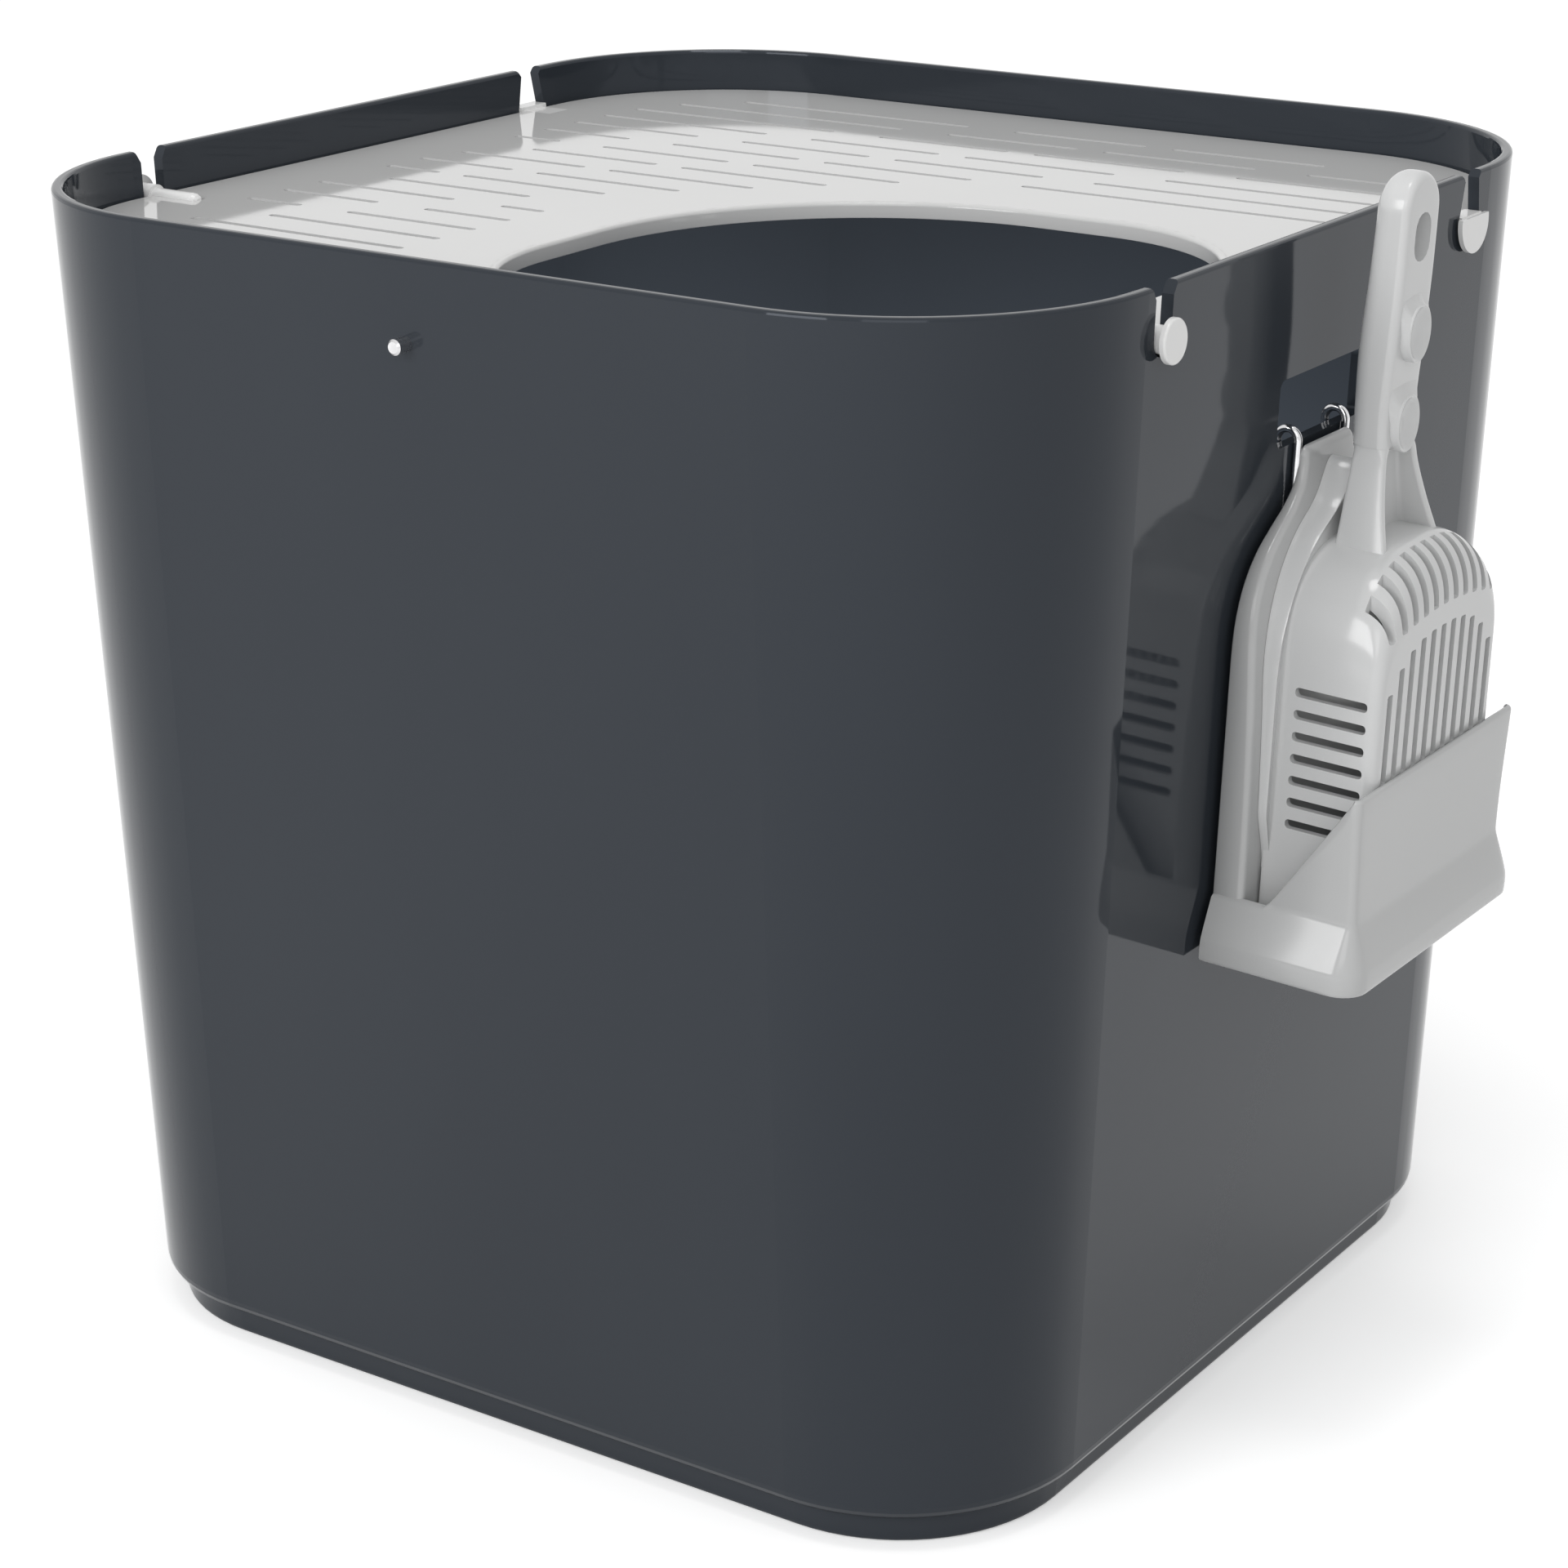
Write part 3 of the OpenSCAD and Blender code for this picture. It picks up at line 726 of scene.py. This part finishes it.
BOWL_HALF = 43.4
BOWL_TOP = 304.0
BOWL_OFF = 49.2
BOWL_BACK = 13.7
BOWL_WALL = 2.4
BOWL_FOOT = 186.4
BOWL_STRAIGHT = 31.0
ARCH_UP = 262.0
ARCH_FULL = 2.8
SHOULDER_OFF = 34.0
SHOULDER_FULL = 2.2
FRONT_HALF = 39.2
FRONT_ROUND = 4.2
FRONT_TOP = 283.0

SIFT_EACH_SIDE = 5  # slots on each side of the middle one
SIFT_PITCH = 7.2
SIFT_WIDE = 3.6
SIFT_ROUND = 0.8
SIFT_FOOT = 234.3
SIFT_TOP = 277.9
SIFT_DROP = 14.0
SIFT_REACH = (BOWL_OFF - 6.0, BOWL_OFF + 4.0)
BAND_UP = 284.7
BAND_DROP = 4.3
SHOULDER_SLOT_TOP = 320.0
SHOULDER_REACH = (39.0, BOWL_OFF + 8.0)
SIDE_SLOTS = 7
SIDE_SLOT_OFF = (20.5, 45.2)
SIDE_SLOT_FOOT = 215.4
SIDE_SLOT_PITCH = 7.3
SIDE_SLOT_HIGH = 3.1
SIDE_SLOT_ROUND = 1.3
SIDE_REACHES = ((-60.0, -30.0), (30.0, 60.0))

RIM_HALF = 47.5
RIM_RISE = 52.0
RIM_FOOT = 200.0
RIM_FOOT_HALF = 42.7
RIM_SPREAD = (204.0, 219.0)  # between these heights the rim's feet widen out to RIM_HALF
RIM_POINT = 11.0
RIM_POINT_WIDE = 9.0
RIM_GAP = 0.1
# Each column's share of the way out to the outline, and how far the front ones stand off the wall.
RIM_SHARE = (0.0, 0.35, 0.65, 0.82, 0.91, 0.97, 1.0, 1.0, 0.0)
RIM_FRONT = (15.0, 14.8, 14.9, 15.3, 15.8, 15.8, 15.3)

HANDLE_HALF = 11.8
HANDLE_TOP = 418.7
HANDLE_FOOT = 333.0
HANDLE_DEEP = 6.6
HANDLE_SMALL = 2.6
HANDLE_EASE = 0.6
HANDLE_BACK_STEP = 2.5
HANDLE_FRONT_STEP = 4.5
# How far the back and the front of the handle and neck stand off the wall at each of these heights.
HANDLE_UP = (296.0, 302.7, 315.0, 325.8, 333.0, 341.0, 362.0, 388.0, 396.0, 410.0, 419.0)
HANDLE_BACK = (15.8, 15.8, 15.8, 15.8, 15.7, 15.4, 15.0, 16.6, 17.0, 17.5, 17.8)
HANDLE_FRONT = (36.9, 35.0, 31.6, 29.5, 28.7, 28.3, 29.0, 30.0, 30.1, 30.1, 29.8)
HOLE_LOW = (-5.4, 391.0)
HOLE_HIGH = (5.4, 406.4)
HOLE_ROUND = 5.39
HOLE_REACH = (5.0, 45.0)

NECK_TOP = 337.0
NECK_UP = (296.0, 302.7, 315.0, 331.0, 345.0)
NECK_HALF = (21.1, 19.3, 15.9, 11.8, 11.8)
NECK_SINK = 0.35
NECK_FOOT_SINK = 1.3
WEB_BACK = 1.4
WEB_FRONT = 0.8
WEB_IN = 2.2
WEB_WIDE = 3.2
WEB_GROWTH = 1.6
WEB_EDGE = 1.0
CHANNEL_ROUND = 1.8
CHANNEL_FLOOR = 5.5
# The heights at which each change of the section starts and is complete.
CHANNEL_OPENS = (334.0, 329.0)
WEB_DRAWS_IN = (335.0, 329.0)
BACK_ROUNDS = (328.0, 335.0)
NECK_SINKS = (332.4, 335.4)

THUMB_RESTS = ((368.7, 28.9, 32.4), (339.7, 28.1, 31.2))  # height, and its base and rim off the wall
REST_SINK = 1.5
REST_STEP = 0.1
REST_OVAL = np.array([[7.9], [9.4]])
REST_RAMP = np.array([[10.0], [13.3]])
REST_ROWS = (  # half width, half height and depth below the rim, from the outside to the middle
    (7.8, 9.4, 0.7), (7.6, 9.25, 0.2), (7.2, 8.95, 0.0), (6.8, 8.5, 0.1), (6.35, 8.0, 0.6),
    (5.4, 6.9, 1.6), (3.7, 4.7, 2.5), (1.8, 2.3, 2.9), (0.0, 0.0, 3.0))


def full(value, fullness):
    """Bends a sine or cosine so that its ellipse bulges: sign times size to the power 2/fullness."""
    return np.sign(value) * np.abs(value) ** (2 / fullness)


def bowl_arch(half, top, foot=BOWL_FOOT, count=14):
    """Along and up of an arch: a straight side, half a full ellipse, and the other straight side."""
    side = np.linspace(foot, ARCH_UP, count)[:-1]
    turn = np.linspace(0.0, math.pi, 90)
    rise = (top - ARCH_UP) * full(np.sin(turn).clip(0), ARCH_FULL)
    along = np.concatenate([np.full(len(side), half), half * full(np.cos(turn), ARCH_FULL),
                            np.full(len(side), -half)])
    up = np.concatenate([side, ARCH_UP + rise, side[::-1]])
    return along, up


def bowl_skin(inset):
    """The bowl's skin from back to front: the arch's top drops over a quarter of a full ellipse.

    Its half width stays, and then draws in over a quarter ellipse of its own near the front.
    """
    turn = np.linspace(0.0, math.pi / 2, 21)
    straight = np.linspace(BOWL_BACK, BOWL_STRAIGHT, 6)
    outside = SHOULDER_OFF + (BOWL_OFF - SHOULDER_OFF) * full(np.sin(turn), SHOULDER_FULL)
    offs = np.concatenate([straight, outside - inset])
    shrink = np.concatenate([np.ones(len(straight)), full(np.cos(turn).clip(0), SHOULDER_FULL)])
    bent = np.clip((outside - BOWL_OFF) / FRONT_ROUND + 1.0, 0.0, 1.0)
    bent = np.concatenate([np.zeros(len(straight)), bent])
    halves = FRONT_HALF + (BOWL_HALF - FRONT_HALF) * np.sqrt(1 - bent ** 2) - inset
    tops = FRONT_TOP + (BOWL_TOP - FRONT_TOP) * shrink - inset
    return np.stack([on_wall(off, *bowl_arch(half, top)) for off, half, top in zip(offs, halves, tops)])


def sifting_slots():
    """The tools that cut the slots: down the front, over the shoulder, and through both sides."""
    shell = Shell()
    for step in range(-SIFT_EACH_SIDE, SIFT_EACH_SIDE + 1):
        left, right = step * SIFT_PITCH - SIFT_WIDE / 2, step * SIFT_PITCH + SIFT_WIDE / 2
        out = abs(step) / SIFT_EACH_SIDE
        top = SIFT_TOP - SIFT_DROP * out ** 3
        foot = BAND_UP - BAND_DROP * out ** 2
        bar(shell, (left, SIFT_FOOT), (right, top), SIFT_ROUND, SIFT_REACH, "off")
        bar(shell, (left, foot), (right, SHOULDER_SLOT_TOP), SIFT_ROUND, SHOULDER_REACH, "off")
    back, front = SIDE_SLOT_OFF
    for step in range(SIDE_SLOTS):
        foot = SIDE_SLOT_FOOT + SIDE_SLOT_PITCH * step
        for reach in SIDE_REACHES:
            bar(shell, (back, foot), (front, foot + SIDE_SLOT_HIGH), SIDE_SLOT_ROUND, reach, "along")
    return shell.build("slot_tools")


def bowl():
    """The bowl: an outer and an inner skin joined round the back and along the foot, then slotted."""
    shell = Shell()
    outer, inner = bowl_skin(0.0), bowl_skin(BOWL_WALL)
    shell.grid(np.concatenate([outer[::-1], inner]))
    for front in (outer[-1], inner[-1]):
        shell.ladder(front)
    for end in (0, -1):
        shell.grid(np.stack([outer[:, end], inner[:, end]], axis=1))
    shell.grid(np.stack([outer[-1, [0, -1]], inner[-1, [0, -1]]]))
    piece = shell.build("scoop_bowl")
    cut(piece, sifting_slots())
    return piece


def bowl_rim(shell):
    """The rim round the bowl's back: a shallow channel, a rounded ridge, and a wall back to the plate.

    Its outline is half an ellipse on two straight feet, with a point that rises to the handle. The
    feet draw in to the bowl. The profile runs from an arch inside the bowl's wall to that outline.
    """
    low, high = RIM_SPREAD
    turn = np.linspace(0.0, math.pi, 90)
    foot = np.linspace(RIM_FOOT, ARCH_UP, 22)[:-1]
    drawn = RIM_FOOT_HALF + (RIM_HALF - RIM_FOOT_HALF) * np.clip((foot - low) / (high - low), 0.0, 1.0)
    along = np.concatenate([drawn, RIM_HALF * np.cos(turn), -drawn[::-1]])
    up = np.concatenate([foot, ARCH_UP + RIM_RISE * np.sin(turn), foot[::-1]])
    up = up + RIM_POINT * np.exp(-(along / RIM_POINT_WIDE) ** 2) * (up > ARCH_UP)
    inner_along, inner_up = bowl_arch(BOWL_HALF - BOWL_WALL / 2, BOWL_TOP - BOWL_WALL / 2, RIM_FOOT, 22)
    share = np.array(RIM_SHARE)
    wide = inner_along[:, None] + share * (along - inner_along)[:, None]
    tall = inner_up[:, None] + share * (up - inner_up)[:, None]
    front = np.tile(RIM_FRONT, (len(up), 1))
    off = np.concatenate([front, plate_face(tall[:, len(RIM_FRONT):]) + RIM_GAP], axis=1)
    rim = on_wall(off, wide, tall)
    shell.grid(rim, closed=True)
    shell.ladder(rim[0])
    shell.ladder(rim[-1])


def handle():
    """The handle: a profile from the back's middle to the front's middle, carried round a tall outline.

    The profile's reach from the outline's middle line grows round the deep back edge, stays up the
    side and shrinks over the small front edge. The outline is two straight sides and half a circle.
    """
    deep, small = HANDLE_DEEP, HANDLE_SMALL
    bend = np.linspace(0.0, math.pi / 2, 9)
    reach = np.concatenate([
        [0.0, HANDLE_BACK_STEP], HANDLE_HALF - deep + deep * np.sin(bend),
        HANDLE_HALF - small + small * np.cos(bend), [HANDLE_FRONT_STEP, 0.0]])
    rise = np.concatenate([[0.0, 0.0], deep - deep * np.cos(bend)])
    drop = np.concatenate([small - small * np.sin(bend), [0.0, 0.0]])
    middle = HANDLE_TOP - HANDLE_HALF
    sides = np.linspace(HANDLE_FOOT, middle, 34)[:-1]
    turn = np.linspace(0.0, math.pi, 41)
    still = np.zeros(len(sides))
    way_along = np.concatenate([still + 1.0, np.cos(turn), still - 1.0])[:, None]
    way_up = np.concatenate([still, np.sin(turn), still])[:, None]
    base = np.concatenate([sides, np.full(len(turn), middle), sides[::-1]])[:, None]
    up = base + way_up * reach
    back = flow(up, HANDLE_UP, HANDLE_BACK)[:, :len(rise)] + rise
    front = flow(up, HANDLE_UP, HANDLE_FRONT)[:, len(rise):] - drop
    off = np.concatenate([back, front], axis=1)
    skin = on_wall(off, way_along * reach, up)
    shell = Shell()
    shell.grid(skin)
    shell.grid(np.stack([skin[0], on_wall(off[0], 0.0, up[0]), skin[-1]]))
    piece = shell.build("scoop_handle")
    hole = Shell()
    bar(hole, HOLE_LOW, HOLE_HIGH, HOLE_ROUND, HOLE_REACH, "off")
    cut(piece, hole.build("hole_tool"))
    soften(piece, HANDLE_EASE, angle=50)
    return piece


def neck(shell):
    """The neck: a channel between two webs that widens from the handle down to the bowl's top.

    One half of the section goes round the web's back edge, up its side, over its front edge and down
    to the channel's floor, and the other half is its mirror image. Each column runs down to the arch
    of the bowl. At the top end the floor rises to the front, the edges take the handle's rounding
    and the whole section sinks a little into the handle.
    """
    bend = np.radians((0.0, 22.5, 45.0, 67.5, 90.0))
    into, over = 1 - np.sin(bend), 1 - np.cos(bend)
    share = np.concatenate([into, over, np.sin(bend), over])
    rise = np.concatenate([over, into, over, into])
    zone = np.repeat(np.arange(4), len(bend))
    zones = [zone == 0, zone == 1, zone == 2]

    def inward(back_round, front_round, web):
        """How far each column stands in from the neck's side."""
        return np.select(
            zones, [back_round * share, front_round * share, web - WEB_EDGE + WEB_EDGE * share],
            web + CHANNEL_ROUND * share)

    foot_along = NECK_HALF[1] - inward(WEB_BACK, WEB_FRONT, WEB_WIDE)
    arch = (1 - np.abs(foot_along / BOWL_HALF) ** ARCH_FULL) ** (1 / ARCH_FULL)
    foot = ARCH_UP + (BOWL_TOP - ARCH_UP) * arch - NECK_FOOT_SINK
    up = NECK_TOP + np.linspace(0.0, 1.0, 40)[:, None] * (foot - NECK_TOP)
    opened = ease(up, *CHANNEL_OPENS)
    sunk = NECK_SINK * ease(up, *NECK_SINKS)
    deep = WEB_BACK + (HANDLE_DEEP - WEB_BACK) * ease(up, *BACK_ROUNDS)
    small = WEB_FRONT + (HANDLE_SMALL - WEB_FRONT) * (1 - opened)
    web = WEB_WIDE + WEB_GROWTH * (1 - opened)
    back = flow(up, HANDLE_UP, HANDLE_BACK) + sunk + WEB_IN * ease(up, *WEB_DRAWS_IN)
    front = flow(up, HANDLE_UP, HANDLE_FRONT) - sunk
    floor = front - (front - back - CHANNEL_FLOOR) * opened
    off = np.select(
        zones, [back + deep * rise, front - small * rise, front - WEB_EDGE * opened * rise],
        np.minimum(floor + CHANNEL_ROUND * rise, front))
    along = flow(up, NECK_UP, NECK_HALF) - inward(deep, small, web) - sunk
    skin = np.concatenate([on_wall(off, along, up), on_wall(off, -along, up)[:, ::-1]], axis=1)
    shell.grid(skin, closed=True)
    shell.ladder(skin[0])
    shell.ladder(skin[-1])


def thumb_rest(shell, middle, base, rim):
    """A thumb rest: an oval boss, upright below and ramped up from a square foot above, dished inside.

    The foot's lower half is the oval itself. Its upper half is the circle pushed out to a square's
    sides, so straight lines from it to the oval rim make the ramp and its two flanks.
    """
    turn = np.linspace(0.0, 2 * math.pi, 73)[:-1]
    circle = np.stack([np.cos(turn), np.sin(turn)])
    square = circle / np.abs(circle).max(axis=0)
    oval = REST_OVAL * circle
    foot = oval + ease(circle[1], 0.0, 0.5) * (REST_RAMP * square - oval)
    sunk = base - REST_SINK
    rings = [(0.0 * foot, sunk), (foot, sunk), (foot, base - REST_STEP)]
    rings += [(circle * [[wide], [high]], rim - drop) for wide, high, drop in REST_ROWS]
    shell.grid(np.stack([on_wall(off, ring[0], middle + ring[1]) for ring, off in rings]), closed=True)


class LITTER_OT_scoop(bpy.types.Operator):
    """Builds the scoop: the slotted bowl and its rim, and the handle with its thumb rests"""
    bl_idname = "litter.scoop"
    bl_label = "Scoop"

    def execute(self, context):
        looks = context.scene.litter_greys
        skin = moulded_plastic(
            "scoop_plastic", looks.scoop, darker(looks.scoop, GREY_SHADE), looks.gloss)
        details = Shell()
        bowl_rim(details)
        neck(details)
        for middle, base, rim in THUMB_RESTS:
            thumb_rest(details, middle, base, rim)
        for piece in (bowl(), handle(), details.build("scoop_neck")):
            finish_piece(piece, "scoop", "scoop", skin, crisp=40)
        return {"FINISHED"}


# ---------------------------------------------------------------- studio


# In metres. The inner lamp faces up.
LAMP_AIM = (0.0, 0.0, 0.2)
FRONT_LAMP = {"place": (-0.4, -2.6, 1.3), "size": 1.2}
RIGHT_LAMP = {"place": (1.3, -2.3, 1.4), "size": 1.2}
TOP_LAMP = {"place": (0.2, -0.3, 3.0), "size": 0.7}
INNER_LAMP = {"place": (0.0, 0.0, 0.03), "size": 0.2, "aim": (0.0, 0.0001, 1.0)}
FLOOR_DROP = 0.0002  # keeps the floor clear of the tub's foot
FLOOR_GREY = 0.8


def add_camera(studio):
    """The photo's camera: its place, turn, dip, lens and frame shift."""
    data = bpy.data.cameras.new("camera")
    camera = add_object("camera", data)
    camera.location = studio.camera_place
    camera.rotation_euler = (math.pi / 2 - studio.camera_dip, 0.0, studio.camera_turn)
    data.lens = studio.lens
    data.sensor_width = 36.0
    data.shift_x = studio.shift_x
    data.shift_y = studio.shift_y
    data.clip_end = 100.0
    bpy.context.scene.camera = camera


def add_lamp(name, power, place, size, aim=LAMP_AIM):
    """A soft square lamp that faces a point."""
    data = bpy.data.lights.new(name, "AREA")
    data.shape = "SQUARE"
    data.size = size
    data.energy = power
    lamp = add_object(name, data)
    lamp.location = place
    way = np.array(aim) - np.array(place)
    lamp.rotation_euler = (
        math.acos(-way[2] / np.linalg.norm(way)), 0.0, math.atan2(-way[0], way[1]))
    return lamp


def add_inner_lamp(power):
    """The small lamp on the tub's floor: it lights the tub alone and is never seen."""
    lamp = add_lamp("inner", power, **INNER_LAMP)
    lamp.visible_camera = False
    lamp.visible_glossy = False
    tub_only = bpy.data.collections.new("tub_only")
    tub_only.objects.link(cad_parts["bucket"])
    lamp.light_linking.receiver_collection = tub_only


def seen_rays(net):
    """1 for rays from the camera, a gloss or a clear piece, and 0 for all others."""
    path = net.add("LightPath")
    camera, glossy, clear = (
        Wire(net, path.outputs[f"Is {kind} Ray"]) for kind in ("Camera", "Glossy", "Transmission"))
    return net.wire("Clamp", inputs={"Value": camera + glossy + clear})


def add_world(studio):
    """Even light, and plain white where the camera, a gloss or a clear piece looks past the floor."""
    world = bpy.data.worlds.new("studio")
    bpy.context.scene.world = world
    net = Net(world)
    strength = studio.ambient + seen_rays(net) * (1.0 - studio.ambient)
    shader = net.wire("Background", inputs={"Color": WHITE, "Strength": strength})
    net.add("OutputWorld", inputs={"Surface": shader})


def add_floor(studio):
    """A pale floor that keeps the shadow and is white to the camera where it is lit."""
    half = studio.floor_size / 2
    corners = [(-half, -half, 0.0), (half, -half, 0.0), (half, half, 0.0), (-half, half, 0.0)]
    mesh = bpy.data.meshes.new("floor")
    mesh.from_pydata(corners, [], [(0, 1, 2, 3)])
    floor = add_object("floor", mesh)
    floor.location.z = -FLOOR_DROP
    net = new_net("floor_paper")
    seen = seen_rays(net)
    glow = net.wire("Emission", inputs={"Color": WHITE, "Strength": seen * studio.floor_glow})
    paper = net.wire("BsdfDiffuse", inputs={"Color": FLOOR_GREY + seen * (1.0 - FLOOR_GREY)})
    net.finish(net.wire("AddShader", inputs={0: paper, 1: glow}))
    mesh.materials.append(net.owner)


class LITTER_OT_studio(bpy.types.Operator):
    """Sets up the camera, the lamps, the white world and the floor"""
    bl_idname = "litter.studio"
    bl_label = "Studio"

    def execute(self, context):
        studio = context.scene.litter_studio
        add_camera(studio)
        add_world(studio)
        add_floor(studio)
        add_lamp("front", studio.front_power, **FRONT_LAMP)
        add_lamp("front_right", studio.right_power, **RIGHT_LAMP)
        add_lamp("top", studio.top_power, **TOP_LAMP)
        add_inner_lamp(studio.inner_power)
        context.scene.view_settings.view_transform = "Standard"
        return {"FINISHED"}


class LITTER_PT_panel(bpy.types.Panel):
    """Lists the steps that make the scene"""
    bl_label = "Litter Box"
    bl_idname = "LITTER_PT_panel"
    bl_space_type = "VIEW_3D"
    bl_region_type = "UI"
    bl_category = "Litter Box"

    def draw(self, context):
        for step in OPERATORS:
            self.layout.operator(step.bl_idname)


SETTINGS = {
    "litter_tub": TubLooks, "litter_greys": LightGreyLooks, "litter_steel": SteelLooks,
    "litter_studio": StudioSettings,
}
OPERATORS = (
    LITTER_OT_tub, LITTER_OT_lid, LITTER_OT_steel, LITTER_OT_holder, LITTER_OT_scoop,
    LITTER_OT_studio,
)


def register():
    for group in SETTINGS.values():
        bpy.utils.register_class(group)
    for operator in OPERATORS:
        bpy.utils.register_class(operator)
    bpy.utils.register_class(LITTER_PT_panel)
    for name, group in SETTINGS.items():
        setattr(bpy.types.Scene, name, PointerProperty(type=group))


def unregister():
    for name in SETTINGS:
        delattr(bpy.types.Scene, name)
    bpy.utils.unregister_class(LITTER_PT_panel)
    for operator in reversed(OPERATORS):
        bpy.utils.unregister_class(operator)
    for group in reversed(SETTINGS.values()):
        bpy.utils.unregister_class(group)


def main():
    register()
    for step in ("tub", "lid", "steel", "holder", "scoop", "studio"):
        getattr(bpy.ops.litter, step)()


if __name__ == "__main__":
    main()
